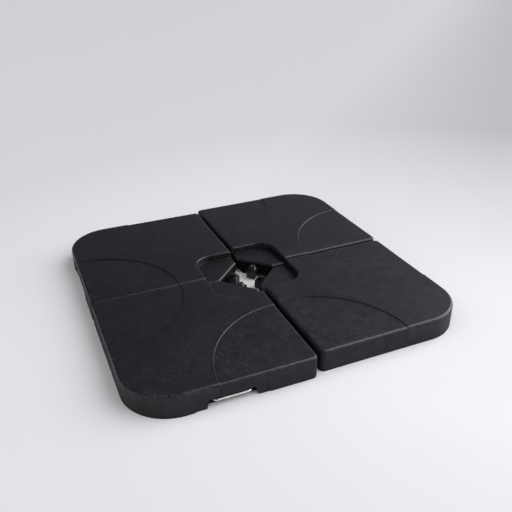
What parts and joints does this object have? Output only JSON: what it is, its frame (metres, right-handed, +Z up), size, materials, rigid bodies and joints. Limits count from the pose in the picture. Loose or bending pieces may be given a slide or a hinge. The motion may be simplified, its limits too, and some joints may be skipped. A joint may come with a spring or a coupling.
{
  "type": "parasol base",
  "caption": "Square parasol base of loose ballast weights round a stepped mast recess, with pull-out wire carry handles and channels for a cross foot.",
  "frame": {"origin": "centre of the whole row on the floor, under the middle of the mast opening", "axes": "+Z up; +X and +Y along the two seams between the weights, to within 0.6 degrees, +Y away from the side whose left-hand weight shows its carry handle; -Y is that side"},
  "size_m": [1.0154, 1.0248, 0.07],
  "materials": {
    "black_plastic": "matte, fine moulded grain",
    "concrete": "cast concrete",
    "bright_steel": "bright plated wire",
    "zinc_steel": "zinc plated",
    "black_steel": "satin black",
    "black_nylon": "plain moulded"
  },
  "bodies": {
    "weight_back_right": {"top_cover_back_right": "black_plastic", "base_cover_back_right": "black_plastic", "concrete_core_back_right": "concrete", "handle_bush_a_back_right": "black_nylon", "handle_bush_b_back_right": "black_nylon", "fixing_lug_back_right": "black_steel", "lug_bolt_back_right": "zinc_steel", "lug_washer_back_right": "zinc_steel", "lug_nut_back_right": "zinc_steel", "cover_screw_1_back_right": "zinc_steel", "cover_screw_2_back_right": "zinc_steel", "cover_screw_3_back_right": "zinc_steel"},
    "handle_back_right": {"carry_handle_back_right": "bright_steel", "handle_stop_a_back_right": "zinc_steel", "handle_stop_b_back_right": "zinc_steel"},
    "weight_back_left": {"top_cover_back_left": "black_plastic", "base_cover_back_left": "black_plastic", "concrete_core_back_left": "concrete", "handle_bush_a_back_left": "black_nylon", "handle_bush_b_back_left": "black_nylon", "fixing_lug_back_left": "black_steel", "lug_bolt_back_left": "black_steel", "lug_washer_back_left": "black_steel", "lug_nut_back_left": "black_steel", "cover_screw_1_back_left": "zinc_steel", "cover_screw_2_back_left": "zinc_steel", "cover_screw_3_back_left": "zinc_steel"},
    "handle_back_left": {"carry_handle_back_left": "bright_steel", "handle_stop_a_back_left": "zinc_steel", "handle_stop_b_back_left": "zinc_steel"},
    "weight_front_left": {"top_cover_front_left": "black_plastic", "base_cover_front_left": "black_plastic", "concrete_core_front_left": "concrete", "handle_bush_a_front_left": "black_nylon", "handle_bush_b_front_left": "black_nylon", "fixing_lug_front_left": "black_steel", "lug_bolt_front_left": "zinc_steel", "lug_washer_front_left": "zinc_steel", "lug_nut_front_left": "zinc_steel", "cover_screw_1_front_left": "zinc_steel", "cover_screw_2_front_left": "zinc_steel", "cover_screw_3_front_left": "zinc_steel"},
    "handle_front_left": {"carry_handle_front_left": "bright_steel", "handle_stop_a_front_left": "zinc_steel", "handle_stop_b_front_left": "zinc_steel"},
    "weight_front_right": {"top_cover_front_right": "black_plastic", "base_cover_front_right": "black_plastic", "concrete_core_front_right": "concrete", "handle_bush_a_front_right": "black_nylon", "handle_bush_b_front_right": "black_nylon", "fixing_lug_front_right": "black_steel", "lug_bolt_front_right": "black_steel", "lug_washer_front_right": "black_steel", "lug_nut_front_right": "black_steel", "cover_screw_1_front_right": "zinc_steel", "cover_screw_2_front_right": "zinc_steel", "cover_screw_3_front_right": "zinc_steel"},
    "handle_front_right": {"carry_handle_front_right": "bright_steel", "handle_stop_a_front_right": "zinc_steel", "handle_stop_b_front_right": "zinc_steel"}
  },
  "joints": [
    {"name": "lift_back_right", "type": "slide", "parent": "weight_front_left", "child": "weight_back_right", "axis": [0, 0, 1], "range_m": [0, 0.1]},
    {"name": "lift_back_left", "type": "slide", "parent": "weight_front_left", "child": "weight_back_left", "axis": [0, 0, 1], "range_m": [0, 0.1]},
    {"name": "lift_front_right", "type": "slide", "parent": "weight_front_left", "child": "weight_front_right", "axis": [0, 0, 1], "range_m": [0, 0.1]},
    {"name": "pull_handle_back_right", "type": "slide", "parent": "weight_back_right", "child": "handle_back_right", "axis": [-0.0105, 0.9999, 0], "range_m": [0, 0.048]},
    {"name": "pull_handle_back_left", "type": "slide", "parent": "weight_back_left", "child": "handle_back_left", "axis": [-1, 0.007, 0], "range_m": [0, 0.048]},
    {"name": "pull_handle_front_left", "type": "slide", "parent": "weight_front_left", "child": "handle_front_left", "axis": [-0.0058, -1, 0], "range_m": [0, 0.048]},
    {"name": "pull_handle_front_right", "type": "slide", "parent": "weight_front_right", "child": "handle_front_right", "axis": [1, 0.0017, 0], "range_m": [0, 0.048]}
  ]
}
